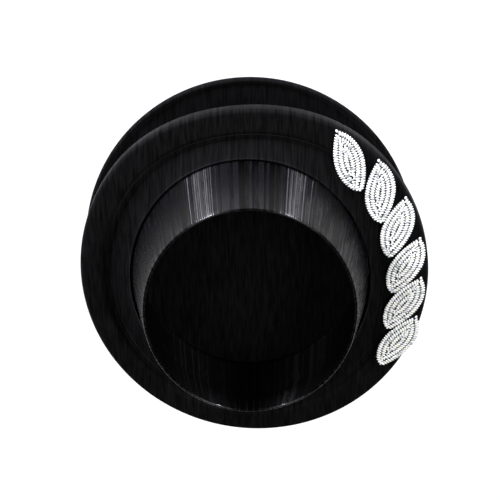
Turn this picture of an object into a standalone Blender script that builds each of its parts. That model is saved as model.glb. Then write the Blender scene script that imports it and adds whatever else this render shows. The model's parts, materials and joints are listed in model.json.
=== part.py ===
"""Sculptural black hat: an oval head band, a dished brim, a second plate that closes the crown, six crystal leaves.

The hat lies on the flat outside of its crown top, as a milliner puts one down, with the head opening upwards.
Metres, +Z up, +Y towards the front of the hat, the origin in the middle of the face that it lies on.
"""

import math
from dataclasses import dataclass

import bmesh
import bpy
from mathutils import Matrix, Vector

SEAT_GAP = 0.0003           # left between two pieces that touch
CLOTH_WALL = 0.0022         # stiffened cloth of the band and the brim

# Head opening, at the far edge of the band
OPENING_WIDTH = 0.1602
OPENING_LENGTH = 0.1970
OPENING_HEIGHT = 0.1020
OPENING_BACK_SHIFT = 0.0088
OPENING_PITCH = math.radians(11.0)

# Seam between the band and the brim
SEAM_WIDTH = 0.1816
SEAM_LENGTH = 0.2080
SEAM_BACK_SHIFT = 0.0056
COLLAR_HEIGHT = 0.0045      # straight stretch of the band that the brim's inner edge grips

# Brim
BRIM_WIDTH = 0.2688
BRIM_LENGTH = 0.2928
BRIM_HEIGHT = 0.0500
BRIM_SIDE_SHIFT = 0.0027
BRIM_BACK_SHIFT = 0.0039
BRIM_PITCH = math.radians(3.5)
BRIM_ROLL = math.radians(2.3)
BRIM_DISH = 0.0030          # height of the seam above the rim's plane, and depth of the groove below it
BRIM_CORNER = 0.0030        # radius from the face into the lip
BRIM_LIP = 0.0100           # height of the turned rim
BRIM_FRONT_FLAT = 0.0044    # how far the rim is flattened at the front
FLAT_REACH = 0.75           # share of the half width over which it is flattened, to each side
FLAT_SIDE = -0.10           # middle of the flattened stretch, as a share of the half width

# Crown top
TOP_WIDTH = 0.2614
TOP_LENGTH = 0.2848
TOP_PLATE = 0.0030
TOP_RIM_HEIGHT = 0.0050
TOP_RIM_WIDTH = 0.0060
CROWN_BASE_WIDTH = 0.1900
CROWN_BASE_LENGTH = 0.2160
CROWN_BASE_BACK_SHIFT = 0.0020

# Crystal leaves
LEAF_LENGTH = 0.0536
LEAF_WIDTH = 0.0226
LEAF_PLATE = 0.0012
LEAF_SKEW = 0.8             # below 1 moves the fullest place of each side towards its own end
LEAF_FULLNESS = 0.8         # below 1 makes the sides rounder
LEAF_STEP_ACROSS = 0.72     # from one leaf to the next, across them, as a share of their width
LEAF_STEP_ALONG = 0.556     # from one leaf to the next, along them, as a share of their length
SCALLOP_PITCH = 0.00205     # one bump for each stone of the outer row
SCALLOP_DEPTH = 0.0004
TIP_STONE_WIDTH = 0.0023
TIP_STONE_HEIGHT = 0.0011
TIP_STONE_SINK = 0.0003
TIP_STONE_TABLE = 0.5       # flat top, as a share of the stone's width

OVAL_SIDES = 64
CORNER_STEPS = 3
STONE_SIDES = 8
OUTLINE_SAMPLES = 400       # places at which a leaf's outline is worked out before it is evenly stepped
POINTS_A_BUMP = 3
SHARP_EDGE = math.radians(40)
SEARCH_STEPS = 20           # halvings when a place on the brim is looked up
WELD = 0.00001

# Colour and roughness of each finish
RIBBED_CLOTH = ((0.012, 0.012, 0.014), 0.45)
BRIM_CLOTH = ((0.009, 0.009, 0.010), 0.60)
CRYSTAL_SETTING = ((0.80, 0.81, 0.82), 0.20)

# Brim's section, from the seam out: place as a share of the brim's width, height of the face as a share of
# BRIM_DISH, and how thick the wall is there as a share of CLOTH_WALL
BRIM_SECTION = [
    # out, rise, wall
    (0.000, 0.85, 0.85),
    (0.012, 1.20, 1.35),
    (0.030, 1.20, 1.45),
    (0.048, 0.92, 1.15),
    (0.200, 0.12, 1.00),
    (0.340, -0.52, 1.00),
    (0.440, -0.94, 1.00),
    (0.475, -1.00, 1.00),
    (0.510, -0.80, 1.10),
    (0.580, -0.10, 1.25),
    (0.620, 0.00, 1.10),
    (0.800, 0.00, 1.00),
]

# Crown top's rim: inset as a share of TOP_RIM_WIDTH, height as a share of TOP_RIM_HEIGHT
TOP_RIM_SECTION = [
    # inset, height
    (0.30, 0.00),
    (0.08, 0.10),
    (0.00, 0.32),
    (0.00, 0.68),
    (0.08, 0.90),
    (0.30, 1.00),
    (0.60, 0.90),
]

# Leaves round the brim: place along the rim from the wearer's left towards the front, in steps from one leaf to
# the next, place of the leaf's middle as a share of the rim's half axes, and turn away from the common lean
LEAVES = [
    # steps, place, turn
    (3.480, 0.874, 0.0),
    (2.426, 0.877, -1.0),
    (1.402, 0.868, -1.5),
    (0.392, 0.870, 2.3),
    (-0.614, 0.879, 10.6),
    (-1.684, 0.926, 22.1),
]


@dataclass(frozen=True)
class Oval:
    """One oval outline in space, as wide as half_width twice and as long as half_length twice."""

    half_width: float
    half_length: float
    height: float
    side_shift: float = 0.0
    back_shift: float = 0.0
    pitch: float = 0.0
    roll: float = 0.0

    def grown(self, step):
        """Return the same oval moved outwards by step."""
        return Oval(self.half_width + step, self.half_length + step, self.height, self.side_shift,
                    self.back_shift, self.pitch, self.roll)

    def raised(self, step):
        """Return the same oval moved by step along its own upward direction."""
        up = tilt(self.pitch, self.roll) @ Vector((0.0, 0.0, step))
        return Oval(self.half_width, self.half_length, self.height + up.z, self.side_shift + up.x,
                    self.back_shift - up.y, self.pitch, self.roll)

    def towards(self, other, share):
        """Return the oval that lies at a share of the way to another one."""
        def mix(name):
            return getattr(self, name) * (1.0 - share) + getattr(other, name) * share
        return Oval(mix("half_width"), mix("half_length"), mix("height"), mix("side_shift"),
                    mix("back_shift"), mix("pitch"), mix("roll"))

    def frame(self):
        """Return the matrix of the oval's own frame, its middle at the origin."""
        middle = Vector((self.side_shift, -self.back_shift, self.height))
        return Matrix.Translation(middle) @ tilt(self.pitch, self.roll)


def tilt(pitch, roll):
    """Return the turn that lifts the front by pitch and the wearer's left by roll."""
    return Matrix.Rotation(-roll, 4, "Y") @ Matrix.Rotation(pitch, 4, "X")


OPENING = Oval(OPENING_WIDTH / 2, OPENING_LENGTH / 2, OPENING_HEIGHT,
               back_shift=OPENING_BACK_SHIFT, pitch=OPENING_PITCH)
RIM = Oval(BRIM_WIDTH / 2, BRIM_LENGTH / 2, BRIM_HEIGHT, BRIM_SIDE_SHIFT, BRIM_BACK_SHIFT, BRIM_PITCH, BRIM_ROLL)
SEAM = Oval(SEAM_WIDTH / 2, SEAM_LENGTH / 2, BRIM_HEIGHT, 0.0, SEAM_BACK_SHIFT, BRIM_PITCH, BRIM_ROLL)
CROWN_BASE = Oval(CROWN_BASE_WIDTH / 2, CROWN_BASE_LENGTH / 2, TOP_PLATE + SEAT_GAP,
                  back_shift=CROWN_BASE_BACK_SHIFT)
TOP_OUTLINE = Oval(TOP_WIDTH / 2, TOP_LENGTH / 2, 0.0)


def clear_scene():
    """Remove the objects that the file holds."""
    for thing in list(bpy.data.objects):
        bpy.data.objects.remove(thing, do_unlink=True)


def plain_material(name, colour, roughness):
    """Return a Principled material for one piece."""
    material = bpy.data.materials.new(name)
    material.use_nodes = True
    shader = material.node_tree.nodes["Principled BSDF"]
    shader.inputs["Base Color"].default_value = (*colour, 1.0)
    shader.inputs["Roughness"].default_value = roughness
    shader.inputs["Metallic"].default_value = 0.0
    return material


def add_object(name, mesh_builder, collection, finish):
    """Write a bmesh into a new object with a material of its own."""
    mesh = bpy.data.meshes.new(name)
    mesh_builder.to_mesh(mesh)
    mesh_builder.free()
    mesh.materials.append(plain_material(name, *finish))
    mesh.shade_smooth()
    mesh.set_sharp_from_angle(angle=SHARP_EDGE)
    thing = bpy.data.objects.new(name, mesh)
    collection.objects.link(thing)
    return thing


def place_ring(verts, layer, oval, flatten):
    """Move a ring's points onto an oval, its front pressed in by a given amount."""
    frame = oval.frame()
    reach = FLAT_REACH * oval.half_width
    flat_middle = FLAT_SIDE * oval.half_width
    for vert in verts:
        across, along = vert[layer].x * oval.half_width, vert[layer].y * oval.half_length
        if along > 0.0 and abs(across - flat_middle) < reach:
            along -= flatten * (1.0 - ((across - flat_middle) / reach) ** 2) ** 2
        vert.co = frame @ Vector((across, along, 0.0))


def loft(rows, closed=False):
    """Return a bmesh that runs through oval rings, one for each (oval, flattening) row, and round to the first."""
    builder = bmesh.new()
    layer = builder.verts.layers.float_vector.new("circle")
    ring = bmesh.ops.create_circle(builder, segments=OVAL_SIDES, radius=1.0, cap_ends=False)["verts"]
    for vert in ring:
        vert[layer] = vert.co
    edges = list(builder.edges)
    place_ring(ring, layer, *rows[0])
    for row in rows[1:] + (rows[:1] if closed else []):
        grown = bmesh.ops.extrude_edge_only(builder, edges=edges)["geom"]
        edges = [item for item in grown if isinstance(item, bmesh.types.BMEdge)]
        place_ring([item for item in grown if isinstance(item, bmesh.types.BMVert)], layer, *row)
    if closed:
        bmesh.ops.remove_doubles(builder, verts=builder.verts, dist=WELD)
    builder.verts.layers.float_vector.remove(layer)
    bmesh.ops.recalc_face_normals(builder, faces=builder.faces)
    return builder


def add_wall(thing, thickness):
    """Give an open surface its thickness, on its inner side."""
    wall = thing.modifiers.new("wall", "SOLIDIFY")
    wall.thickness = thickness
    wall.offset = -1.0
    wall.use_even_offset = True
    wall.use_quality_normals = True


def make_crown_band(collection):
    """The deep band: from the crown top up to the brim's seam, and on to the head opening."""
    seam_top = SEAM.raised(BRIM_DISH * BRIM_SECTION[0][1])
    seam_foot = seam_top.raised(-COLLAR_HEIGHT)
    crown_foot = CROWN_BASE.raised(COLLAR_HEIGHT)
    ovals = [CROWN_BASE, crown_foot, crown_foot.towards(seam_foot, 0.5), seam_foot, seam_top,
             seam_top.towards(OPENING, 0.5), OPENING]
    builder = loft([(oval, 0.0) for oval in ovals])
    band = add_object("crown_band", builder, collection, RIBBED_CLOTH)
    add_wall(band, CLOTH_WALL)


def make_lower_brim(collection):
    """The wide brim: a bead at the seam, a groove half way out, and a rim turned down into a lip."""
    inner = SEAM.grown(SEAT_GAP)
    face_rows = []
    back_rows = []
    for out, rise, wall in BRIM_SECTION:
        face = inner.towards(RIM, out).raised(rise * BRIM_DISH)
        face_rows.append((face, flat_share(out)))
        back_rows.append((face.raised(-wall * CLOTH_WALL), flat_share(out)))
    corner_radius = max(BRIM_CORNER, 1.1 * CLOTH_WALL)      # so that the inside keeps a small radius too
    face_rows += [(corner, 1.0) for corner in rim_corner(corner_radius, 0.0)]
    face_rows.append((RIM.raised(-BRIM_LIP), 1.0))
    back_rows += [(corner, 1.0) for corner in rim_corner(corner_radius, CLOTH_WALL)]
    back_rows.append((RIM.grown(-CLOTH_WALL).raised(-BRIM_LIP), 1.0))
    rows = [(oval, BRIM_FRONT_FLAT * share) for oval, share in face_rows + back_rows[::-1]]
    builder = loft(rows, closed=True)
    add_object("lower_brim", builder, collection, BRIM_CLOTH)


def rim_corner(radius, depth):
    """Return the ovals of the turn from the brim's face into its lip, at a depth inside the corner's surface."""
    middle = RIM.grown(-radius).raised(-radius)
    reach = radius - depth
    angles = [math.pi / 2 * step / CORNER_STEPS for step in range(CORNER_STEPS + 1)]
    return [middle.grown(reach * math.sin(angle)).raised(reach * math.cos(angle)) for angle in angles]


def flat_share(out):
    """Return how much of the rim's flattening reaches a place on the brim: none at the seam, all at the groove."""
    groove = min(BRIM_SECTION, key=lambda row: row[1])[0]
    return min(1.0, out / groove)


def make_crown_top(collection):
    """The plate that closes the crown, with a raised, rounded rim."""
    ovals = [TOP_OUTLINE.grown(-inset * TOP_RIM_WIDTH).raised(height * TOP_RIM_HEIGHT)
             for inset, height in TOP_RIM_SECTION]
    ovals.append(TOP_OUTLINE.grown(-TOP_RIM_WIDTH).raised(TOP_PLATE))
    builder = loft([(oval, 0.0) for oval in ovals])
    bmesh.ops.holes_fill(builder, edges=builder.edges, sides=OVAL_SIDES)
    bmesh.ops.recalc_face_normals(builder, faces=builder.faces)
    add_object("crown_top", builder, collection, BRIM_CLOTH)


def leaf_half_width(share):
    """Return one side's distance from the leaf's axis at a share of the way from that side's full end."""
    return LEAF_WIDTH / 2 * math.sin(math.pi * share ** LEAF_SKEW) ** LEAF_FULLNESS


def leaf_point(turn):
    """Return a point of the plain outline, turn going from 0 at the tip round the far end and back to 1."""
    if turn < 0.5:
        share = 2.0 * turn
        return Vector((leaf_half_width(share), LEAF_LENGTH * (0.5 - share)))
    share = 2.0 * turn - 1.0
    return Vector((-leaf_half_width(share), LEAF_LENGTH * (share - 0.5)))


def leaf_outline():
    """Return the scalloped outline, evenly stepped, with one bump for each stone of the outer row."""
    samples = [leaf_point(step / OUTLINE_SAMPLES) for step in range(OUTLINE_SAMPLES)]
    samples.append(samples[0])
    lengths = [0.0]
    for before, after in zip(samples, samples[1:]):
        lengths.append(lengths[-1] + (after - before).length)
    bumps = round(lengths[-1] / SCALLOP_PITCH)
    points = []
    place = 0
    for step in range(POINTS_A_BUMP * bumps):
        wanted = lengths[-1] * step / (POINTS_A_BUMP * bumps)
        while lengths[place + 1] < wanted:
            place += 1
        share = (wanted - lengths[place]) / (lengths[place + 1] - lengths[place])
        along = (samples[place + 1] - samples[place]).normalized()
        inward = Vector((along.y, -along.x))
        inset = SCALLOP_DEPTH if step % POINTS_A_BUMP == 0 else 0.0
        points.append(samples[place].lerp(samples[place + 1], share) + inward * inset)
    return points


def make_leaf(name, place, collection):
    """One leaf: a scalloped plate with a cut stone, with a table, at its tip."""
    builder = bmesh.new()
    outline = [builder.verts.new(point.to_3d()) for point in leaf_outline()]
    plate = builder.faces.new(outline)
    grown = bmesh.ops.extrude_face_region(builder, geom=[plate])
    lifted = [item for item in grown["geom"] if isinstance(item, bmesh.types.BMVert)]
    bmesh.ops.translate(builder, verts=lifted, vec=(0.0, 0.0, LEAF_PLATE))
    bmesh.ops.recalc_face_normals(builder, faces=builder.faces)
    leaf = add_object(name, builder, collection, CRYSTAL_SETTING)
    leaf.matrix_world = place

    stone_builder = bmesh.new()
    stone_middle = Vector((0.0, LEAF_LENGTH / 2, LEAF_PLATE - TIP_STONE_SINK + TIP_STONE_HEIGHT / 2))
    bmesh.ops.create_cone(stone_builder, cap_ends=True, segments=STONE_SIDES, radius1=TIP_STONE_WIDTH / 2,
                          radius2=TIP_STONE_TABLE * TIP_STONE_WIDTH / 2, depth=TIP_STONE_HEIGHT,
                          matrix=Matrix.Translation(stone_middle))
    stone = add_object(name + "_tip_stone", stone_builder, bpy.data.collections["cutters"], CRYSTAL_SETTING)
    stone.matrix_world = place
    stone.hide_render = True
    stone.display_type = "WIRE"
    joined = leaf.modifiers.new("tip stone", "BOOLEAN")
    joined.operation = "UNION"
    joined.object = stone
    joined.solver = "EXACT"


def brim_rise(point):
    """Return how high the brim's face stands above the rim's plane at a point of that plane."""
    near, far = 0.0, 1.0
    for _ in range(SEARCH_STEPS):
        out = (near + far) / 2
        oval = SEAM.towards(RIM, out)
        across = (point.x - oval.side_shift + RIM.side_shift) / oval.half_width
        along = (point.y + oval.back_shift - RIM.back_shift) / oval.half_length
        near, far = (out, far) if math.hypot(across, along) > 1.0 else (near, out)
    rise = 0.0
    for (start, low, _), (end, high, _) in zip(BRIM_SECTION, BRIM_SECTION[1:]):
        if start <= near <= end:
            rise = low + (high - low) * (near - start) / (end - start)
    return rise * BRIM_DISH


def leaf_place(steps, share, turn):
    """Return the matrix that lays a leaf on the brim's outer ring, on the highest place under it."""
    step_across = LEAF_STEP_ACROSS * LEAF_WIDTH
    step_along = LEAF_STEP_ALONG * LEAF_LENGTH
    angle = steps * math.hypot(step_across, step_along) / (RIM.half_length * share)
    lean = math.radians(turn) - math.atan2(step_across, step_along)
    middle = Vector((RIM.half_width * share * math.cos(angle), RIM.half_length * share * math.sin(angle), 0.0))
    along = Vector((-RIM.half_width * math.sin(angle), RIM.half_length * math.cos(angle)))
    heading = math.atan2(along.y, along.x) + lean - math.pi / 2
    flat_place = Matrix.Translation(middle) @ Matrix.Rotation(heading, 4, "Z")
    seat = max(0.0, max(brim_rise(flat_place @ point.to_3d()) for point in leaf_outline()))
    return RIM.frame() @ Matrix.Translation((0.0, 0.0, seat + SEAT_GAP)) @ flat_place


def main():
    """Build every piece."""
    clear_scene()
    hat = bpy.data.collections.new("crystal_leaf_hat")
    cutters = bpy.data.collections.new("cutters")
    bpy.context.scene.collection.children.link(hat)
    bpy.context.scene.collection.children.link(cutters)
    make_crown_band(hat)
    make_lower_brim(hat)
    make_crown_top(hat)
    for number, (steps, share, turn) in enumerate(LEAVES, start=1):
        make_leaf(f"leaf_{number}", leaf_place(steps, share, turn), hat)


main()
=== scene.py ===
"""Looks of a sculptural black hat with six crystal leaves.

The hat lies on its flat crown, with the head opening upwards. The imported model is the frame. The band, the
brim and the crown top are replaced by finer shells of the same form, covered in black faille. Each leaf's
plate carries its field of small foiled stones.
"""

import json
import logging
import math
import random
from dataclasses import astuple, dataclass, field, replace
from enum import Enum

import bmesh
import bpy
import numpy as np
from bmesh.types import BMEdge, BMesh, BMLayerItem, BMVert
from bpy.types import Material, Node, NodeSocket, NodeTree, Object
from mathutils import Matrix, Vector

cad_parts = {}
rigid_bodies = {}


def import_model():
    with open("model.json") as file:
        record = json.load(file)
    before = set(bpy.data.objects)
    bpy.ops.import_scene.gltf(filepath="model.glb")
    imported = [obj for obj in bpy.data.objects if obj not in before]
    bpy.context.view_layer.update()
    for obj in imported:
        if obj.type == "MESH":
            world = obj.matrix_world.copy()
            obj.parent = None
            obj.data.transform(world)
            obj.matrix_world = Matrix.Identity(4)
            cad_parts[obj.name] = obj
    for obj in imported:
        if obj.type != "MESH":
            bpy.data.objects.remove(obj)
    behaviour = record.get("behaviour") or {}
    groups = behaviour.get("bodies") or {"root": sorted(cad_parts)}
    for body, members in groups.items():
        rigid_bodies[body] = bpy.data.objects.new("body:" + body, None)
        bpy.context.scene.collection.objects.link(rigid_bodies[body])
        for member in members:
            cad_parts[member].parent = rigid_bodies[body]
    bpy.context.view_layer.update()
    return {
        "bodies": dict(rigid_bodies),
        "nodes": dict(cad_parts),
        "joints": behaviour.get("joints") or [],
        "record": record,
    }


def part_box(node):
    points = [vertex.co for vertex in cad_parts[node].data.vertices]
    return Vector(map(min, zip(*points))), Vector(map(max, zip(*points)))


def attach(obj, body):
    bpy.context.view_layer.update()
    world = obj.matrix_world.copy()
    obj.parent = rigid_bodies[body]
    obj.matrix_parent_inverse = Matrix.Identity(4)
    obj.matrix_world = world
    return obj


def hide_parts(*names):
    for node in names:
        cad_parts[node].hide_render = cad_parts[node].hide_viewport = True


LOG = logging.getLogger("crystal_leaf_hat")
MM = 0.001
LEAVES = 6
CLOTH_MAP = "UVMap"                  # the shells' UV map, in metres
WHITE = "#FFFFFF"


# Helpers for colours, nodes and objects


def linear(code: str) -> tuple[float, float, float, float]:
    """Turn an sRGB hex colour into linear RGBA.

    Args:
        code: the colour, such as "#1A1A1C".

    Returns:
        Linear red, green and blue, and an alpha of 1.
    """
    channels = [int(code[place:place + 2], 16) / 255 for place in (1, 3, 5)]
    turned = [c / 12.92 if c <= 0.04045 else ((c + 0.055) / 1.055) ** 2.4 for c in channels]
    return (*turned, 1.0)


def add_node(tree: NodeTree, kind: str, inputs: dict | None = None,
             stops: tuple[tuple[float, str], ...] = (), **settings) -> Node:
    """Add a node with its settings and links.

    Args:
        tree: the node tree that gets the node.
        kind: the node's type, such as "ShaderNodeBump".
        inputs: what each input socket is linked to, a socket or a node's first output, or its value.
        stops: position and hex colour of each stop, where the node is a colour ramp.
        settings: the node's own properties.

    Returns:
        The new node.
    """
    node = tree.nodes.new(kind)
    for name, value in settings.items():
        setattr(node, name, value)
    for number, (position, code) in enumerate(stops):
        elements = node.color_ramp.elements
        element = elements[number] if number < len(elements) else elements.new(position)
        element.position = position
        element.color = linear(code)
    connect(tree, node, inputs or {})
    return node


def connect(tree: NodeTree, node: Node, inputs: dict) -> None:
    """Link or set a node's input sockets.

    Args:
        tree: the node's tree.
        node: the node.
        inputs: what each socket is linked to, a socket or a node's first output, or its value.
    """
    for key, value in inputs.items():
        if isinstance(value, Node):
            tree.links.new(value.outputs[0], node.inputs[key])
        elif isinstance(value, NodeSocket):
            tree.links.new(value, node.inputs[key])
        else:
            node.inputs[key].default_value = value


def new_material(name: str, **values) -> tuple[Material, NodeTree, Node]:
    """Make a Principled material.

    Args:
        name: the material's name.
        values: socket values of the shader, with underscores for the spaces in a socket's name.

    Returns:
        The material, its node tree and its Principled shader.
    """
    material = bpy.data.materials.new(name)
    material.use_nodes = True
    tree = material.node_tree
    shader = tree.nodes["Principled BSDF"]
    for key, value in values.items():
        shader.inputs[key.replace("_", " ")].default_value = value
    return material, tree, shader


def add_piece(name: str, builder: BMesh, materials: list[Material], smooth: bool = True) -> Object:
    """Write a bmesh into a new object at the origin.

    Args:
        name: the piece's name.
        builder: its mesh, which is freed.
        materials: its materials, in the order of their indices.
        smooth: whether its faces are shaded smooth.

    Returns:
        The new object.
    """
    mesh = bpy.data.meshes.new(name)
    builder.to_mesh(mesh)
    builder.free()
    for material in materials:
        mesh.materials.append(material)
    mesh.polygons.foreach_set("use_smooth", [smooth] * len(mesh.polygons))
    piece = bpy.data.objects.new(name, mesh)
    bpy.context.scene.collection.objects.link(piece)
    return piece


# Finishes


class Grain(Enum):
    """Where a cloth's ribs take their direction from."""

    ALONG_BAND = "along the band's own height, by its UV map"
    FRONT_TO_BACK = "straight from front to back, over the whole piece"


@dataclass(frozen=True)
class Faille:
    """Black faille: a plain woven cloth with fine irregular ribs, slightly lustrous along their backs."""

    name: str
    grain: Grain
    sheened_back: str                       # the ribs' backs, with painted sheen
    smoothest: float
    roughest: float
    shine: float
    rib_bump: float
    thread_bump: float = 0.05 * MM
    shaded_valley: str = "#010101"            # the valleys between the ribs, with painted shade
    lustre: float = 0.0              # how much longer the highlight is along the ribs
    fuzz: float = 0.0                # light caught by loose fibre ends where the cloth is seen edge-on
    fuzz_roughness: float = 0.35
    rib: float = 1.8 * MM            # real spacing of the ribs
    rib_run: float = 18.0 * MM       # how far a rib runs before it changes
    thread: float = 0.5 * MM         # drawn coarser than the real 0.2 mm, which is too fine to show
    thread_run: float = 4.0 * MM
    cloud: float = 14.0 * MM         # width of the faint uneven areas of a wide cloth
    cloud_run: float = 30.0 * MM
    cloud_range: tuple[float, float] = (0.40, 0.60)
    tint_range: tuple[float, float] = (0.15, 0.36)
    gloss_range: tuple[float, float] = (0.14, 0.37)

    def material(self) -> Material:
        """Build the cloth's material."""
        material, tree, shader = new_material(
            self.name, Anisotropic=self.lustre, Specular_IOR_Level=self.shine, Sheen_Weight=self.fuzz,
            Sheen_Roughness=self.fuzz_roughness)
        along, across = self.directions(tree)
        ribs = self.stripes(tree, along, across, self.rib, self.rib_run)
        threads = self.stripes(tree, across, along, self.thread, self.thread_run)
        # Painted shade and sheen: the colour follows the bump's rib pattern, darker in its valleys and
        # lighter on its backs; ribs and areas also differ in tone at random
        blend = add_node(tree, "ShaderNodeMath", {0: self.unevenness(tree, along, across), 1: ribs},
                         operation="MULTIPLY")
        tint = add_node(tree, "ShaderNodeValToRGB", {"Fac": blend},
                        stops=tuple(zip(self.tint_range, (self.shaded_valley, self.sheened_back))))
        rough = add_node(tree, "ShaderNodeMapRange", {
            "Value": blend, "From Min": self.gloss_range[0], "From Max": self.gloss_range[1],
            "To Min": self.roughest, "To Max": self.smoothest})
        low = add_node(tree, "ShaderNodeBump", {
            "Height": ribs, "Distance": self.rib_bump, "Strength": 1.0})
        fine = add_node(tree, "ShaderNodeBump", {
            "Height": threads, "Distance": self.thread_bump, "Strength": 1.0, "Normal": low})
        connect(tree, shader, {"Base Color": tint, "Roughness": rough, "Normal": fine})
        if self.grain is Grain.ALONG_BAND:
            turn = add_node(tree, "ShaderNodeTangent", direction_type="UV_MAP", uv_map=CLOTH_MAP)
            connect(tree, shader, {"Tangent": turn})
        return material

    def directions(self, tree: NodeTree) -> tuple[NodeSocket, NodeSocket]:
        """Return the distances along the ribs and across them, in metres."""
        if self.grain is Grain.ALONG_BAND:
            place = add_node(tree, "ShaderNodeUVMap", uv_map=CLOTH_MAP)
            parts = add_node(tree, "ShaderNodeSeparateXYZ", {0: place})
            return parts.outputs["X"], parts.outputs["Y"]
        place = add_node(tree, "ShaderNodeTexCoord").outputs["Object"]
        parts = add_node(tree, "ShaderNodeSeparateXYZ", {0: place})
        # The lip stands upright, so its height counts as distance along the ribs that turn over the edge
        along = add_node(tree, "ShaderNodeMath", {0: parts.outputs["Y"], 1: parts.outputs["Z"]},
                         operation="ADD")
        return along.outputs[0], parts.outputs["X"]

    def unevenness(self, tree: NodeTree, along: NodeSocket,
                   across: NodeSocket) -> NodeSocket:
        """Return what makes some ribs lighter than others, from 0 to 1.

        Args:
            tree: the node tree.
            along: distance along the ribs, in metres.
            across: distance across them, in metres.

        Returns:
            The lustre of each modelled rib on the band, and faint uneven areas on the wide cloths.
        """
        if self.grain is Grain.ALONG_BAND:
            return add_node(tree, "ShaderNodeAttribute", attribute_name="rib_tone").outputs["Fac"]
        clouds = add_node(tree, "ShaderNodeMapRange", {
            "Value": self.stripes(tree, along, across, self.cloud, self.cloud_run),
            "To Min": self.cloud_range[0], "To Max": self.cloud_range[1]})
        return clouds.outputs[0]

    def stripes(self, tree: NodeTree, along: NodeSocket, across: NodeSocket,
                spacing: float, reach: float) -> NodeSocket:
        """Return an irregular striped pattern.

        Args:
            tree: the node tree.
            along: distance along the stripes, in metres.
            across: distance across them, in metres.
            spacing: mean distance between stripes.
            reach: how far a stripe runs before it changes.

        Returns:
            The pattern, from 0 to 1.
        """
        turns = add_node(tree, "ShaderNodeMath", {0: across, 1: 1.0 / spacing}, operation="MULTIPLY")
        steps = add_node(tree, "ShaderNodeMath", {0: along, 1: 1.0 / reach}, operation="MULTIPLY")
        # The third coordinate only gives each pattern its own stretch of the noise
        place = add_node(tree, "ShaderNodeCombineXYZ", {0: turns, 1: steps, 2: spacing / MM})
        noise = add_node(tree, "ShaderNodeTexNoise", {
            "Vector": place, "Scale": 1.0, "Detail": 2.0, "Roughness": 0.55})
        return noise.outputs[0]


@dataclass(frozen=True)
class FoiledCrystal:
    """Cut glass with a foiled back: the foil's reflection is painted as a nearly white colour, and each
    facet is painted its own share of glint.
    """

    name: str = "foiled_crystal"

    def material(self) -> Material:
        """Build the stones' material."""
        material, tree, shader = new_material(
            self.name, Roughness=0.10, IOR=1.55, Coat_Weight=1.0, Coat_Roughness=0.02)
        # Painted glint and reflection: each facet is painted from grey to white, with faint warm, green and
        # blue tints as painted iridescence
        tone = add_node(tree, "ShaderNodeAttribute", attribute_name="painted_facet_glint").outputs["Fac"]
        glow = add_node(tree, "ShaderNodeValToRGB", {"Fac": tone}, stops=(
            (0.00, "#9CA2A2"), (0.20, "#DADDDC"), (0.40, "#F8F8F6"), (0.62, WHITE),
            (0.80, "#F8F6E2"), (0.90, "#EAF4EC"), (1.00, "#E6EAF6")))
        connect(tree, shader, {"Base Color": glow})
        return material


@dataclass(frozen=True)
class PlatedBrass:
    """Silver-plated pressed brass, as of the stones' cups: bright, with soft polishing marks."""

    name: str = "silver_plated_brass"
    mark: float = 0.4 * MM           # size of the polishing marks

    def material(self) -> Material:
        """Build the cups' material."""
        material, tree, shader = new_material(self.name, Metallic=1.0)
        place = add_node(tree, "ShaderNodeTexCoord").outputs["Object"]
        marks = add_node(tree, "ShaderNodeTexNoise", {
            "Vector": place, "Scale": 1.0 / self.mark, "Detail": 2.0})
        tint = add_node(tree, "ShaderNodeValToRGB", {"Fac": marks},
                        stops=((0.35, "#B9BBBC"), (0.65, "#E6E7E6")))
        rough = add_node(tree, "ShaderNodeMapRange", {"Value": marks, "To Min": 0.18, "To Max": 0.40})
        connect(tree, shader, {"Base Color": tint, "Roughness": rough})
        return material


@dataclass(frozen=True)
class BackingFelt:
    """Thin black wool felt, cut to the leaf's outline: dull, with a short uneven nap."""

    name: str = "backing_felt"
    tuft: float = 0.5 * MM           # size of the nap's tufts
    tuft_height: float = 0.08 * MM

    def material(self) -> Material:
        """Build the backing's material."""
        material, tree, shader = new_material(self.name, Roughness=0.95, Specular_IOR_Level=0.2)
        place = add_node(tree, "ShaderNodeTexCoord").outputs["Object"]
        nap = add_node(tree, "ShaderNodeTexNoise", {
            "Vector": place, "Scale": 1.0 / self.tuft, "Detail": 4.0})
        tint = add_node(tree, "ShaderNodeValToRGB", {"Fac": nap},
                        stops=((0.35, "#0B0B0C"), (0.70, "#1B1B1D")))
        bump = add_node(tree, "ShaderNodeBump", {"Height": nap, "Distance": self.tuft_height})
        connect(tree, shader, {"Base Color": tint, "Normal": bump})
        return material


@dataclass(frozen=True)
class StudioPaper:
    """White seamless paper, lit so evenly that it glows."""

    name: str = "white_seamless_paper"
    fibre: float = 3.0 * MM          # size of the pulp's faint pattern
    glow: float = 0.90

    def material(self) -> Material:
        """Build the floor's material."""
        material, tree, shader = new_material(
            self.name, Roughness=0.9, Specular_IOR_Level=0.1, Emission_Strength=self.glow)
        place = add_node(tree, "ShaderNodeTexCoord").outputs["Object"]
        pulp = add_node(tree, "ShaderNodeTexNoise", {
            "Vector": place, "Scale": 1.0 / self.fibre, "Detail": 3.0})
        tint = add_node(tree, "ShaderNodeValToRGB", {"Fac": pulp}, stops=((0.3, "#FAFAF9"), (0.7, WHITE)))
        shader.inputs["Base Color"].default_value = linear("#8C8C8C")
        connect(tree, shader, {"Emission Color": tint})
        return material


# Ovals and shells


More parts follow.
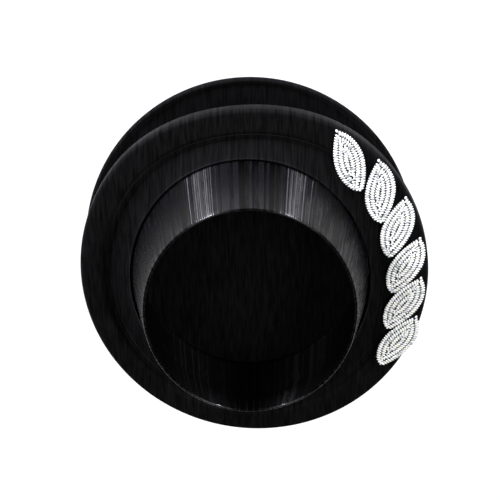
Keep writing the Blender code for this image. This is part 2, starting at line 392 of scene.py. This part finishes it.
@dataclass(frozen=True)
class Oval:
    """One oval outline in space, as wide as half_width twice and as long as half_length twice."""

    half_width: float
    half_length: float
    height: float
    side_shift: float = 0.0
    back_shift: float = 0.0
    pitch: float = 0.0
    roll: float = 0.0

    def grown(self, step: float) -> "Oval":
        """Return the same oval moved outwards by step."""
        return replace(self, half_width=self.half_width + step, half_length=self.half_length + step)

    def raised(self, step: float) -> "Oval":
        """Return the same oval moved by step along its own upward direction."""
        up = self.turn() @ Vector((0.0, 0.0, step))
        return replace(self, height=self.height + up.z, side_shift=self.side_shift + up.x,
                       back_shift=self.back_shift - up.y)

    def towards(self, other: "Oval", share: float) -> "Oval":
        """Return the oval that lies at a share of the way to another one."""
        return Oval(*[mine * (1.0 - share) + theirs * share
                      for mine, theirs in zip(astuple(self), astuple(other))])

    def turn(self) -> Matrix:
        """Return the turn that lifts the front by the pitch and the wearer's left by the roll."""
        return Matrix.Rotation(-self.roll, 4, "Y") @ Matrix.Rotation(self.pitch, 4, "X")

    def frame(self) -> Matrix:
        """Return the matrix of the oval's own frame, its middle at the origin."""
        return Matrix.Translation(Vector((self.side_shift, -self.back_shift, self.height))) @ self.turn()


@dataclass(frozen=True)
class Ring:
    """One ring of a shell: its oval, how far its front is pressed in, and how much of the ribs it shows."""

    oval: Oval
    flatten: float = 0.0
    ribbed: float = 0.0


# One rib's section: the place across it and the height there, as shares of its own width and rise
RIB_SECTION = ((0.0, 0.0), (0.12, 0.60), (0.36, 0.95), (0.64, 0.95), (0.88, 0.60))
RIB_WIDTHS = (0.75, 1.25)            # narrowest and widest rib, as shares of the mean
RIB_RISES = (0.45, 1.55)             # lowest and highest rib, as shares of the mean
ROUND_STEPS = 4096                   # fine enough to measure the way round an oval


@dataclass(frozen=True)
class Columns:
    """The columns of a shell's mesh: an angle, a distance round, a rib height and a lustre for each."""

    angles: list[float]
    distances: list[float]
    heights: list[float]
    tones: list[float]

    @staticmethod
    def even(count: int) -> "Columns":
        """Return plain columns at equal angles."""
        return Columns([math.tau * step / count for step in range(count)],
                       [step / count for step in range(count)], [0.0] * count, [0.5] * count)

    @staticmethod
    def ribbed(oval: Oval, spacing: float, height: float, seed: int) -> "Columns":
        """Return columns that draw irregular ribs round an oval.

        Args:
            oval: the oval that the ribs are spaced along.
            spacing: mean width of a rib.
            height: height of a mean rib.
            seed: seed of the irregularity.

        Returns:
            Five columns for each rib: its valley, two low on its sides and two on its broad back.
        """
        draw = random.Random(seed)
        steps = range(ROUND_STEPS + 1)
        points = [(oval.half_width * math.cos(math.tau * step / ROUND_STEPS),
                   oval.half_length * math.sin(math.tau * step / ROUND_STEPS)) for step in steps]
        path = [0.0]
        for before, after in zip(points, points[1:]):
            path.append(path[-1] + math.dist(before, after))
        widths = [draw.uniform(*RIB_WIDTHS) for _ in range(round(path[-1] / spacing))]
        scale = path[-1] / sum(widths)
        angles, distances, heights, tones = [], [], [], []
        start = 0.0
        for width in widths:
            rise = height * draw.uniform(*RIB_RISES)
            tone = draw.random()
            for share, lift in RIB_SECTION:
                distance = start + share * width * scale
                angles.append(math.tau * float(np.interp(distance, path, steps)) / ROUND_STEPS)
                distances.append(distance)
                heights.append(rise * lift)
                tones.append(tone)
            start += width * scale
        return Columns(angles, distances, heights, tones)


@dataclass(frozen=True)
class FrontFlat:
    """The stretch of the brim's front that is pressed in a little."""

    reach: float = 0.75              # share of the half width over which it is flattened, to each side
    side: float = -0.10              # middle of the stretch, as a share of the half width

    def amount(self, across: float, half_width: float) -> float:
        """Return how much of the flattening a point gets."""
        offset = (across / half_width - self.side) / self.reach
        return (1.0 - offset ** 2) ** 2 if abs(offset) < 1.0 else 0.0


FRONT_FLAT = FrontFlat()
MERGE_DISTANCE = 0.001 * MM


def loft(rings: list[Ring], columns: Columns, closed: bool) -> BMesh:
    """Draw a shell through rings by extruding a circle from each to the next.

    Args:
        rings: the rings, in order.
        columns: the columns round each ring.
        closed: whether the last ring joins the first.

    Returns:
        The shell, with a UV map in metres: along the rings' order, and round them.
    """
    builder = bmesh.new()
    count = len(columns.angles)
    column = builder.verts.layers.int.new("column")
    row = builder.verts.layers.int.new("row")
    tone = builder.verts.layers.float.new("rib_tone")
    verts = bmesh.ops.create_circle(builder, segments=count, radius=1.0, cap_ends=False)["verts"]
    for vert in verts:
        vert[column] = round(math.atan2(vert.co.y, vert.co.x) / math.tau * count) % count
        vert[tone] = columns.tones[vert[column]]
    edges = list(builder.edges)
    place_ring(verts, column, rings[0], columns)
    for number, ring in enumerate(rings[1:] + (rings[:1] if closed else []), start=1):
        grown = bmesh.ops.extrude_edge_only(builder, edges=edges)["geom"]
        edges = [item for item in grown if isinstance(item, BMEdge)]
        verts = [item for item in grown if isinstance(item, BMVert)]
        for vert in verts:
            vert[row] = number
        place_ring(verts, column, ring, columns)
    map_shell(builder, column, row, rings, columns)
    if closed:
        bmesh.ops.remove_doubles(builder, verts=builder.verts, dist=MERGE_DISTANCE)
    bmesh.ops.recalc_face_normals(builder, faces=builder.faces)
    return builder


def place_ring(verts: list[BMVert], column: BMLayerItem, ring: Ring,
               columns: Columns) -> None:
    """Move one ring's points onto its oval.

    Args:
        verts: the ring's points.
        column: the layer that holds each point's column.
        ring: the oval and its front's flattening.
        columns: the columns' angles and rib heights.
    """
    frame = ring.oval.frame()
    for vert in verts:
        angle = columns.angles[vert[column]]
        lift = columns.heights[vert[column]] * ring.ribbed
        across = (ring.oval.half_width + lift) * math.cos(angle)
        along = (ring.oval.half_length + lift) * math.sin(angle)
        if along > 0.0 and ring.flatten:
            along -= ring.flatten * FRONT_FLAT.amount(across, ring.oval.half_width)
        vert.co = frame @ Vector((across, along, 0.0))


def map_shell(builder: BMesh, column: BMLayerItem, row: BMLayerItem,
              rings: list[Ring], columns: Columns) -> None:
    """Give a shell its UV map: distance along its section, and distance round it.

    Args:
        builder: the shell's mesh.
        column: the layer that holds each point's column.
        row: the layer that holds each point's ring.
        rings: the rings, in order.
        columns: the columns round each ring.
    """
    fronts = [ring.oval.frame() @ Vector((0.0, ring.oval.half_length, 0.0)) for ring in rings]
    fronts.append(fronts[0])
    section = [0.0]
    for before, after in zip(fronts, fronts[1:]):
        section.append(section[-1] + (after - before).length)
    count = len(columns.angles)
    round_way = columns.distances + [columns.distances[-1] * count / (count - 1)]
    layer = builder.loops.layers.uv.new(CLOTH_MAP)
    for face in builder.faces:
        wraps = max(vert[column] for vert in face.verts) - min(vert[column] for vert in face.verts) > 1
        for corner in face.loops:
            place = corner.vert[column]
            place = count if wraps and place == 0 else place
            corner[layer].uv = (section[corner.vert[row]], round_way[place])


def smooth_through(table: tuple[tuple[float, float], ...], place: float) -> float:
    """Read a smooth curve through a table of (place, value) rows.

    Args:
        table: the rows, in order of place.
        place: where the curve is read.

    Returns:
        The value there, by cubic pieces that keep each row's own slope.
    """
    places = [entry[0] for entry in table]
    slopes = []
    for number in range(len(table)):
        before, after = table[max(0, number - 1)], table[min(len(table) - 1, number + 1)]
        here = table[number][1]
        turning = (after[1] - here) * (here - before[1]) <= 0.0
        slopes.append(0.0 if turning else (after[1] - before[1]) / (after[0] - before[0]))
    piece = min(max(int(np.searchsorted(places, place)) - 1, 0), len(table) - 2)
    (start, low), (end, high) = table[piece], table[piece + 1]
    span = end - start
    t = min(max((place - start) / span, 0.0), 1.0)
    return (low * (1 + 2 * t) * (1 - t) ** 2 + high * t * t * (3 - 2 * t)
            + span * (slopes[piece] * t * (1 - t) ** 2 - slopes[piece + 1] * t * t * (1 - t)))


# The hat's main lines, shared by its shells


@dataclass(frozen=True)
class HatForm:
    """Sizes that the band, the brim and the crown top share, in metres."""

    cloth_wall: float = 2.2 * MM
    seat_gap: float = 0.3 * MM
    brim_dish: float = 3.0 * MM
    brim_corner: float = 3.0 * MM
    brim_lip: float = 10.0 * MM
    front_flat: float = 4.4 * MM
    collar: float = 4.5 * MM
    top_plate: float = 3.0 * MM
    top_rim_width: float = 6.0 * MM
    foot_half_width: float = 95.0 * MM
    foot_half_length: float = 108.0 * MM
    foot_back_shift: float = 2.0 * MM
    brim_height: float = 50.0 * MM
    brim_pitch: float = math.radians(3.5)
    brim_roll: float = math.radians(2.3)
    rim: Oval = Oval(134.4 * MM, 146.4 * MM, brim_height, 2.7 * MM, 3.9 * MM, brim_pitch, brim_roll)
    seam: Oval = Oval(90.8 * MM, 104.0 * MM, brim_height, 0.0, 5.6 * MM, brim_pitch, brim_roll)
    opening: Oval = Oval(80.1 * MM, 98.5 * MM, 102.0 * MM, 0.0, 8.8 * MM, math.radians(11.0))

    def crown_base(self) -> Oval:
        """Return the foot of the band, on the crown top's plate."""
        return Oval(self.foot_half_width, self.foot_half_length, self.top_plate + self.seat_gap,
                    back_shift=self.foot_back_shift)


@dataclass
class CrownBand:
    """The deep band of ribbed cloth, from the crown top past the brim's seam to the head opening."""

    form: HatForm
    rib_width: float = 2.0 * MM
    rib_height: float = 0.06 * MM
    rib_seed: int = 11
    inner_ribs: float = -0.3         # how much of them shows on the inside, where a rib is a hollow
    cuff_rows: int = 12
    crown_rows: int = 7
    edge_steps: int = 6
    seam_rise: float = 0.85          # the seam's height over the rim's plane, as a share of the brim's dish

    def build(self) -> Object:
        """Build the band and dress it."""
        columns = Columns.ribbed(self.form.seam, self.rib_width, self.rib_height, self.rib_seed)
        builder = loft(self.rings(), columns, closed=True)
        cloth = Faille("black_faille_band", Grain.ALONG_BAND, sheened_back="#0D0D0F", smoothest=0.19,
                       roughest=0.32, shine=0.25, lustre=1.0, rib_bump=0.004 * MM,
                       thread_bump=0.010 * MM)
        band = add_piece("band_shell", builder, [cloth.material()])
        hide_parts("crown_band")
        return band

    def rings(self) -> list[Ring]:
        """Return the rings, up the outside from the foot, over the opening's edge and down the inside."""
        form = self.form
        seam_top = form.seam.raised(form.brim_dish * self.seam_rise)
        seam_foot = seam_top.raised(-form.collar)
        foot = form.crown_base()
        foot_top = foot.raised(form.collar)
        outside = [foot]
        outside += [foot_top.towards(seam_foot, step / self.crown_rows)
                    for step in range(self.crown_rows + 1)]
        outside += [seam_top.towards(form.opening, step / self.cuff_rows)
                    for step in range(self.cuff_rows + 1)]
        inside = [oval.grown(-form.cloth_wall) for oval in outside[::-1]]
        radius = form.cloth_wall / 2
        edge = []
        for step in range(1, self.edge_steps):
            angle = math.pi * step / self.edge_steps
            drop = radius * (math.cos(angle) - 1.0)
            edge.append(form.opening.grown(drop).raised(radius * (math.sin(angle) - 1.0)))
        outside[-1] = form.opening.raised(-radius)
        inside[0] = form.opening.grown(-form.cloth_wall).raised(-radius)
        rings = [Ring(oval, ribbed=1.0) for oval in outside]
        # The ribs fade out as they turn over the edge
        rings += [Ring(oval, ribbed=0.5 * (1.0 + math.cos(math.pi * (step + 1) / self.edge_steps)))
                  for step, oval in enumerate(edge)]
        rings += [Ring(oval, ribbed=self.inner_ribs) for oval in inside]
        return rings


@dataclass
class LowerBrim:
    """The wide brim: a welt at the seam, a groove with two creases, and a rim turned into a lip."""

    form: HatForm
    columns: int = 384
    corner_steps: int = 8
    # Place from the seam to the rim as a share, and height of the face as a share of the dish
    face: tuple[tuple[float, float], ...] = (
        (0.000, -1.00), (0.016, 0.10), (0.034, 1.22), (0.046, 1.20), (0.062, 0.86), (0.200, 0.12),
        (0.340, -0.52), (0.440, -0.94), (0.475, -1.00), (0.510, -0.80), (0.580, -0.10), (0.620, 0.00),
        (1.000, 0.00))
    # Place as before, and thickness of the wall as a share of the cloth's
    wall: tuple[tuple[float, float], ...] = (
        (0.000, 0.20), (0.032, 1.45), (0.062, 1.15), (0.200, 1.00), (0.475, 1.00), (0.580, 1.25),
        (0.800, 1.00), (1.000, 1.00))
    groove: float = 0.475
    crease_apart: float = 3.4 * MM
    crease_depth: float = 0.55 * MM  # drawn deeper than the real ones, so that they show
    crease_width: float = 0.70 * MM
    # Rings of the face: how far out each set goes, as a share of the way, and its number of steps
    face_end: float = 0.92           # where the turn into the lip begins
    face_steps: int = 36
    welt_end: float = 0.065
    welt_steps: int = 18
    groove_reach: float = 0.075      # to each side of the groove
    groove_steps: int = 28
    back_share: int = 3              # the unseen back has one ring for this many of the face's

    def build(self) -> Object:
        """Build the brim and dress it."""
        builder = loft(self.rings(), Columns.even(self.columns), closed=True)
        cloth = Faille("black_faille_brim", Grain.FRONT_TO_BACK, sheened_back="#0F0F10", smoothest=0.62,
                       roughest=0.84, shine=0.04, fuzz=0.05, rib_bump=0.10 * MM)
        brim = add_piece("brim_shell", builder, [cloth.material()])
        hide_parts("lower_brim")
        return brim

    def rings(self) -> list[Ring]:
        """Return the rings, out over the face, round the rim's corner, down the lip and back inside."""
        form = self.form
        inner = form.seam.grown(form.seat_gap)
        places = self.face_places()
        face = [self.ring(inner, out, self.rise(out) - self.crease(out)) for out in places]
        back = [self.ring(inner, out, self.rise(out) - smooth_through(self.wall, out) * form.cloth_wall)
                for out in places[::self.back_share]]
        return face + self.corner(0.0) + self.lip_end() + self.corner(form.cloth_wall)[::-1] + back[::-1]

    def rise(self, out: float) -> float:
        """Return how high the face stands above the rim's plane at a place."""
        return smooth_through(self.face, out) * self.form.brim_dish

    def face_places(self) -> list[float]:
        """Return the places of the face's rings, close together at the welt and at the groove."""
        spread = [self.face_end * step / self.face_steps for step in range(self.face_steps + 1)]
        welt = [self.welt_end * step / self.welt_steps for step in range(self.welt_steps + 1)]
        creases = [self.groove + self.groove_reach * step / self.groove_steps
                   for step in range(-self.groove_steps, self.groove_steps + 1)]
        return sorted({round(place, 5) for place in spread + welt + creases})

    def ring(self, inner: Oval, out: float, rise: float) -> Ring:
        """Return the ring at a place from the seam to the rim."""
        flatten = self.form.front_flat * min(1.0, out / self.groove)
        return Ring(inner.towards(self.form.rim, out).raised(rise), flatten)

    def crease(self, out: float) -> float:
        """Return how deep the two creases in the groove are at a place."""
        brim_width = self.form.rim.half_width - self.form.seam.half_width
        offset = (out - self.groove) * brim_width
        depth = 0.0
        for side in (-1.0, 1.0):
            depth += math.exp(-((offset - side * self.crease_apart / 2) / self.crease_width) ** 2)
        return self.crease_depth * depth

    def corner(self, depth: float) -> list[Ring]:
        """Return the turn from the face into the lip, at a depth inside its surface."""
        radius = self.form.brim_corner
        middle = self.form.rim.grown(-radius).raised(-radius)
        reach = radius - depth
        angles = [math.pi / 2 * step / self.corner_steps for step in range(self.corner_steps + 1)]
        return [Ring(middle.grown(reach * math.sin(angle)).raised(reach * math.cos(angle)),
                     self.form.front_flat) for angle in angles]

    def lip_end(self) -> list[Ring]:
        """Return the lip's straight stretch and its rounded end."""
        radius = self.form.cloth_wall / 2
        middle = self.form.rim.grown(-radius).raised(-self.form.brim_lip + radius)
        rings = [Ring(self.form.rim.raised(-self.form.brim_lip / 2), self.form.front_flat)]
        for step in range(self.corner_steps + 1):
            angle = math.pi * step / self.corner_steps
            turned = middle.grown(radius * math.cos(angle)).raised(-radius * math.sin(angle))
            rings.append(Ring(turned, self.form.front_flat))
        return rings


@dataclass
class CrownTop:
    """The plate that closes the crown, with a rounded rim over its edge wire."""

    form: HatForm
    columns: int = 384
    edge_steps: int = 14
    plate_steps: int = 12
    flat_start: float = 1.6          # where the flat outside begins, in from the outline, in rim radii
    # Place in from the outline as a share of the rim's width, and how much of the way down to the plate
    rim_fall: tuple[tuple[float, float], ...] = (
        (0.55, 0.12), (0.72, 0.45), (0.88, 0.85), (1.0, 0.98), (1.2, 1.0))

    def build(self) -> Object:
        """Build the plate and dress it."""
        low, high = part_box("crown_top")
        outline = Oval((high.x - low.x) / 2, (high.y - low.y) / 2, low.z)
        rim_height = high.z - low.z
        builder = loft(self.rings(outline, rim_height), Columns.even(self.columns), closed=False)
        bmesh.ops.holes_fill(builder, edges=builder.edges, sides=self.columns)
        bmesh.ops.recalc_face_normals(builder, faces=builder.faces)
        cloth = Faille("black_faille_top", Grain.FRONT_TO_BACK, sheened_back="#0E0E0F", smoothest=0.60,
                       roughest=0.84, shine=0.04, fuzz=0.12, rib_bump=0.12 * MM)
        top = add_piece("top_shell", builder, [cloth.material()])
        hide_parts("crown_top")
        return top

    def rings(self, outline: Oval, rim_height: float) -> list[Ring]:
        """Return the rings, from the flat outside round the rim and in to the plate.

        Args:
            outline: the rim's outline, at the height of the flat outside.
            rim_height: the rim's height.

        Returns:
            The rings, in order.
        """
        radius = rim_height / 2
        middle = outline.grown(-radius).raised(radius)
        rings = [Ring(outline.grown(-radius * self.flat_start))]
        for step in range(self.edge_steps + 1):
            angle = math.pi * (step / self.edge_steps - 0.5)
            rings.append(Ring(middle.grown(radius * math.cos(angle)).raised(radius * math.sin(angle))))
        drop = rim_height - self.form.top_plate
        for share, fall in self.rim_fall:
            edge = outline.grown(-self.form.top_rim_width * share)
            rings.append(Ring(edge.raised(rim_height - drop * fall)))
        start = self.form.top_rim_width * self.rim_fall[-1][0]
        for step in range(1, self.plate_steps):
            inset = start + step / self.plate_steps * (outline.half_width - start)
            rings.append(Ring(outline.grown(-inset).raised(self.form.top_plate)))
        return rings


@dataclass(frozen=True)
class Stone:
    """One stone's place on its leaf, the way its length points, and its length as a share of its width."""

    across: float
    along: float
    turn: float
    ratio: float

    def ends(self, width: float) -> list[Vector]:
        """Return the middle of the stone and the middles of its round ends."""
        reach = (self.ratio - 1.0) * width / 2
        way = Vector((math.cos(self.turn), math.sin(self.turn))) * reach
        middle = Vector((self.across, self.along))
        return [middle - way, middle, middle + way]

    def clear_of(self, other: "Stone", width: float, room: float) -> bool:
        """Tell whether two stones leave each other room.

        Args:
            other: the other stone.
            width: the width of both.
            room: the least distance between the middles of their ends.

        Returns:
            True if no end of one is nearer than that to an end of the other.
        """
        return all((mine - theirs).length > room
                   for mine in self.ends(width) for theirs in other.ends(width))


PLATE_DEPTH = 0.2 * MM               # a leaf's points this near its underside draw the plate's outline
TABLE_DEPTH = 0.1 * MM               # and those this near its top draw the tip stone's table


@dataclass(frozen=True)
class LeafSeat:
    """Where one leaf lies: its own frame, with +Y towards its tip and +Z off the brim, and its size."""

    frame: Matrix
    length: float
    width: float

    @staticmethod
    def of_node(node: Object) -> "LeafSeat":
        """Measure a leaf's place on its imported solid."""
        points = np.array([vert.co for vert in node.data.vertices])
        middle = points.mean(axis=0)
        normal = np.linalg.svd(points - middle, full_matrices=False)[2][2]
        normal = normal * math.copysign(1.0, normal[2])
        heights = (points - middle) @ normal
        plate = points[heights < heights.min() + PLATE_DEPTH]
        stone = points[heights > heights.max() - TABLE_DEPTH].mean(axis=0)
        centre = plate.mean(axis=0)
        along = stone - centre
        along = along - normal * (along @ normal)
        along = along / np.linalg.norm(along)
        across = np.cross(along, normal)
        reach = (plate - centre) @ along
        sides = (plate - centre) @ across
        centre = centre + along * (reach.max() + reach.min()) / 2 + across * (sides.max() + sides.min()) / 2
        frame = Matrix((across, along, normal)).transposed().to_4x4()
        frame.translation = Vector(centre)
        return LeafSeat(frame, float(reach.max() - reach.min()), float(sides.max() - sides.min()))


@dataclass
class CrystalLeaf:
    """One leaf: nested bands of long foiled stones in cups, on the felt plate that backs them."""

    number: int
    skew: float = 0.8
    fullness: float = 0.8
    outline_points: int = 720
    plate: float = 1.2 * MM
    pitch: float = 2.10 * MM
    stone_width: float = 1.96 * MM
    stone_length: float = 4.00 * MM
    short_ratio: float = 1.5         # length to width of a stone where a long one has no room
    tip_ratio: float = 1.4
    tip_overhang: float = 0.3 * MM   # how far past the plate's tip the tip stone's middle lies
    bands: tuple[float, ...] = (1.45 * MM, 5.15 * MM, 8.85 * MM)
    band_slack: float = 0.05 * MM
    fewest_points: int = 8           # a band that keeps fewer of the outline's points is left out
    slant: float = math.radians(22.0)
    band_room: float = 0.72          # least distance between stones' ends, as a share of their width
    fill_room: float = 0.78          # the same for the stones that fill the free places
    fill_step: float = 0.5 * MM
    fill_edge: float = 1.2 * MM      # least distance of those from the outline
    crown_height: float = 0.45 * MM
    cup_height: float = 0.55 * MM
    # Radii as shares of the stone's: the cup's foot and mouth, the stone's girdle and its table
    cup_foot: float = 0.62
    cup_mouth: float = 0.80
    girdle: float = 0.99
    table_share: float = 0.66
    sides: int = 8
    tilt_spread: float = 3.5         # degrees
    # Painted glint: the range of each stone's painted brightness, and how far its facets stray from it
    painted_glint: tuple[float, float] = (0.22, 0.78)
    painted_glint_spread: float = 0.18
    first_seed: int = 100

    def build(self, node: Object, crystal: Material, cup: Material,
              backing: Material) -> Object:
        """Set the stones on a packed leaf.

        Args:
            node: the leaf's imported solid, which stays as the backing.
            crystal: the stones' material.
            cup: the cups' material.
            backing: the plate's material.

        Returns:
            The field of stones.
        """
        node.data.materials.clear()
        node.data.materials.append(backing)
        seat = LeafSeat.of_node(node)
        draw = random.Random(self.first_seed + self.number)
        builder = bmesh.new()
        tone = builder.faces.layers.float.new("painted_facet_glint")
        tip = Stone(0.0, seat.length / 2 + self.tip_overhang, math.pi / 2, self.tip_ratio)
        for stone in [*self.stone_places(seat), tip]:
            self.add_stone(builder, tone, seat.frame, stone, draw)
        stones = add_piece(f"leaf_{self.number}_stones", builder, [crystal, cup], smooth=False)
        return stones

    def half_width(self, seat: LeafSeat, share: float) -> float:
        """Return the leaf's half width at a share of its length, from the end where that side begins."""
        return seat.width / 2 * math.sin(math.pi * share ** self.skew) ** self.fullness

    def outline(self, seat: LeafSeat) -> np.ndarray:
        """Return points of the leaf's outline, down its right side and up its left, as (across, along)."""
        points = []
        for step in range(self.outline_points):
            turn = 2.0 * step / self.outline_points
            side, share = (1.0, turn) if turn < 1.0 else (-1.0, turn - 1.0)
            points.append((side * self.half_width(seat, share), side * seat.length * (0.5 - share)))
        return np.array(points)

    def stone_places(self, seat: LeafSeat) -> list[Stone]:
        """Return the stones, band by band from the outline inwards, each clear of the others."""
        outline = self.outline(seat)
        step_on = np.roll(outline, -1, axis=0) - np.roll(outline, 1, axis=0)
        lengths = np.linalg.norm(step_on, axis=1, keepdims=True)
        inward = np.stack((step_on[:, 1], -step_on[:, 0]), axis=1) / np.maximum(lengths, 1e-9)
        quarter = len(outline) // 4
        if inward[quarter] @ outline[quarter] > 0.0:
            inward = -inward
        stones: list[Stone] = []
        for band in self.bands:
            moved = outline + inward * band
            gaps = np.linalg.norm(moved[:, None, :] - outline[None, :, :], axis=2).min(axis=1)
            kept = gaps > band - self.band_slack
            if kept.sum() < self.fewest_points:
                continue
            row, facing = moved[kept], inward[kept]
            path = np.concatenate(([0.0], np.cumsum(np.linalg.norm(np.diff(row, axis=0), axis=1))))
            for number in range(round(path[-1] / self.pitch)):
                wanted = self.pitch * (number + 0.5)
                spot = Vector([float(np.interp(wanted, path, row[:, side])) for side in (0, 1)])
                heading = Vector([float(np.interp(wanted, path, facing[:, side])) for side in (0, 1)])
                lean = self.slant * math.copysign(1.0, spot.x)
                turn = math.atan2(heading.y, heading.x) + lean
                for ratio in (self.stone_length / self.stone_width, self.short_ratio, 1.0):
                    stone = Stone(spot.x, spot.y, turn, ratio)
                    room = self.band_room * self.stone_width
                    if all(stone.clear_of(other, self.stone_width, room) for other in stones):
                        stones.append(stone)
                        break
        return stones + self.filling_stones(seat, outline, stones)

    def filling_stones(self, seat: LeafSeat, outline: np.ndarray, stones: list[Stone]) -> list[Stone]:
        """Return the round stones that fill the places the bands leave free, mostly along the midrib.

        Args:
            seat: the leaf's place and size.
            outline: points of its outline.
            stones: the bands' stones.

        Returns:
            The stones to add.
        """
        added: list[Stone] = []
        taken = [tuple(end) for stone in stones for end in stone.ends(self.stone_width)]
        room = self.fill_room * self.stone_width
        for along in np.arange(-seat.length / 2, seat.length / 2, self.fill_step):
            for across in np.arange(-seat.width / 2, seat.width / 2, self.fill_step):
                share = 0.5 - along / seat.length if across > 0.0 else 0.5 + along / seat.length
                inside = abs(across) < self.half_width(seat, share)
                edge = np.linalg.norm(outline - (across, along), axis=1).min()
                clear = np.linalg.norm(np.array(taken) - (across, along), axis=1).min()
                if inside and edge > self.fill_edge and clear > room:
                    added.append(Stone(float(across), float(along), 0.0, 1.0))
                    taken.append((float(across), float(along)))
        return added

    def add_stone(self, builder: BMesh, tone: BMLayerItem, frame: Matrix,
                  stone: Stone, draw: random.Random) -> None:
        """Add one cut stone in its cup.

        Args:
            builder: the mesh that gets the stone.
            tone: the layer that holds each facet's painted glint.
            frame: the leaf's frame.
            stone: the stone's place and shape in that frame.
            draw: source of its small tilt and its painted glints.
        """
        spot = frame @ Matrix.Translation((stone.across, stone.along, self.plate))
        spot = spot @ Matrix.Rotation(stone.turn, 4, "Z") @ Matrix.Diagonal((stone.ratio, 1.0, 1.0, 1.0))
        tilt = Matrix.Rotation(math.radians(draw.gauss(0.0, self.tilt_spread)), 4, "X")
        radius = self.stone_width / 2
        cup = bmesh.ops.create_cone(
            builder, cap_ends=True, segments=self.sides, radius1=radius * self.cup_foot,
            radius2=radius * self.cup_mouth, depth=self.cup_height,
            matrix=spot @ Matrix.Translation((0.0, 0.0, self.cup_height / 2)))
        for face in {face for vert in cup["verts"] for face in vert.link_faces}:
            face.material_index = 1
        seat = Matrix.Translation((0.0, 0.0, self.cup_height + self.crown_height / 2))
        cut = bmesh.ops.create_cone(
            builder, cap_ends=True, segments=self.sides, radius1=radius * self.girdle,
            radius2=radius * self.table_share, depth=self.crown_height, matrix=spot @ tilt @ seat)
        # Painted glint: how bright the whole stone is painted, with each facet's painted share strayed round
        # it
        painted_glint = draw.uniform(*self.painted_glint)
        # Keys keep their order, which a set would not, so each facet gets the same painted glint in every
        # run
        for face in dict.fromkeys(face for vert in cut["verts"] for face in vert.link_faces):
            face[tone] = min(1.0, max(0.0, painted_glint + draw.gauss(0.0, self.painted_glint_spread)))


# The studio


@dataclass(frozen=True)
class SoftBox:
    """A soft light, aimed at the hat."""

    name: str
    azimuth: float                   # degrees from the hat's front, towards the wearer's left
    elevation: float
    distance: float
    width: float
    height: float
    watts: float
    colour: str = WHITE

    def place(self, target: Vector) -> None:
        """Hang the light."""
        turn, lift = math.radians(self.azimuth), math.radians(self.elevation)
        away = Vector((math.sin(turn) * math.cos(lift), math.cos(turn) * math.cos(lift), math.sin(lift)))
        lamp = bpy.data.lights.new(self.name, "AREA")
        lamp.shape = "RECTANGLE"
        lamp.size, lamp.size_y = self.width, self.height
        lamp.energy = self.watts
        lamp.color = linear(self.colour)[:3]
        holder = bpy.data.objects.new(self.name, lamp)
        holder.location = target + away * self.distance
        holder.rotation_euler = (-away).to_track_quat("-Z", "Y").to_euler()
        bpy.context.scene.collection.objects.link(holder)


@dataclass
class Studio:
    """White floor, soft lights and the camera at the photograph's angle."""

    target: Vector = field(default_factory=lambda: Vector((0.35 * MM, 49.64 * MM, 110.0 * MM)))
    camera_distance: float = 1.1
    camera_elevation: float = math.radians(63.2)
    lens: float = 109.85
    sensor: float = 36.0
    shift: float = 0.001
    floor_size: float = 6.0
    floor_drop: float = 0.1 * MM     # keeps the floor clear of the hat's flat outside
    air_light: float = 0.05
    # The narrow low boxes make the band's two bright streaks, the high ones light the brims and the leaves
    boxes: tuple[SoftBox, ...] = (
        SoftBox("left_glint_box", -43, 6, 1.3, 0.08, 0.50, 48, "#F2F2FF"),
        SoftBox("right_glint_box", 40, 6, 1.3, 0.07, 0.50, 30, "#F2F2FF"),
        SoftBox("left_key_box", -74, 58, 1.6, 0.80, 0.80, 13),
        SoftBox("right_key_box", 76, 58, 1.6, 0.80, 0.80, 18),
    )

    def build(self) -> None:
        """Set the floor, the lights and the camera."""
        builder = bmesh.new()
        bmesh.ops.create_grid(builder, x_segments=8, y_segments=8, size=self.floor_size / 2,
                              matrix=Matrix.Translation((0.0, 0.0, -self.floor_drop)))
        floor = add_piece("studio_floor", builder, [StudioPaper().material()])
        for box in self.boxes:
            box.place(self.target)
        self.fill_air()
        bpy.context.scene.view_settings.view_transform = "Standard"
        self.place_camera()

    def fill_air(self) -> None:
        """Make the wall behind look white while it adds little light of its own."""
        world = bpy.data.worlds.new("studio_air")
        world.use_nodes = True
        tree = world.node_tree
        backdrop = tree.nodes["Background"]
        backdrop.inputs["Color"].default_value = linear(WHITE)
        seen = add_node(tree, "ShaderNodeLightPath").outputs["Is Camera Ray"]
        strength = add_node(tree, "ShaderNodeMapRange", {
            "Value": seen, "To Min": self.air_light, "To Max": 1.0})
        connect(tree, backdrop, {"Strength": strength})
        bpy.context.scene.world = world

    def place_camera(self) -> None:
        """Aim the camera as the photograph's was."""
        lens = bpy.data.cameras.new("photo_camera")
        lens.lens = self.lens
        lens.sensor_width = self.sensor
        lens.shift_x, lens.shift_y = -self.shift, self.shift
        camera = bpy.data.objects.new("photo_camera", lens)
        away = Vector((0.0, math.cos(self.camera_elevation), math.sin(self.camera_elevation)))
        camera.location = self.target + away * self.camera_distance
        camera.rotation_euler = (self.camera_elevation - math.pi / 2, 0.0, 0.0)
        bpy.context.scene.collection.objects.link(camera)
        bpy.context.scene.camera = camera


def main() -> None:
    """Build the hat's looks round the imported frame."""
    logging.basicConfig(level=logging.INFO, format="%(name)s: %(message)s")
    for thing in list(bpy.data.objects):
        bpy.data.objects.remove(thing, do_unlink=True)
    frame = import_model()
    form = HatForm()
    pieces = [CrownBand(form).build(), LowerBrim(form).build(), CrownTop(form).build()]
    crystal, cup, backing = FoiledCrystal().material(), PlatedBrass().material(), BackingFelt().material()
    for number in range(1, LEAVES + 1):
        leaf = CrystalLeaf(number)
        pieces.append(leaf.build(frame["nodes"][f"leaf_{number}"], crystal, cup, backing))
    for piece in pieces:
        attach(piece, "root")
        LOG.info("%s: %d faces", piece.name, len(piece.data.polygons))
    Studio().build()


if __name__ == "__main__":
    main()
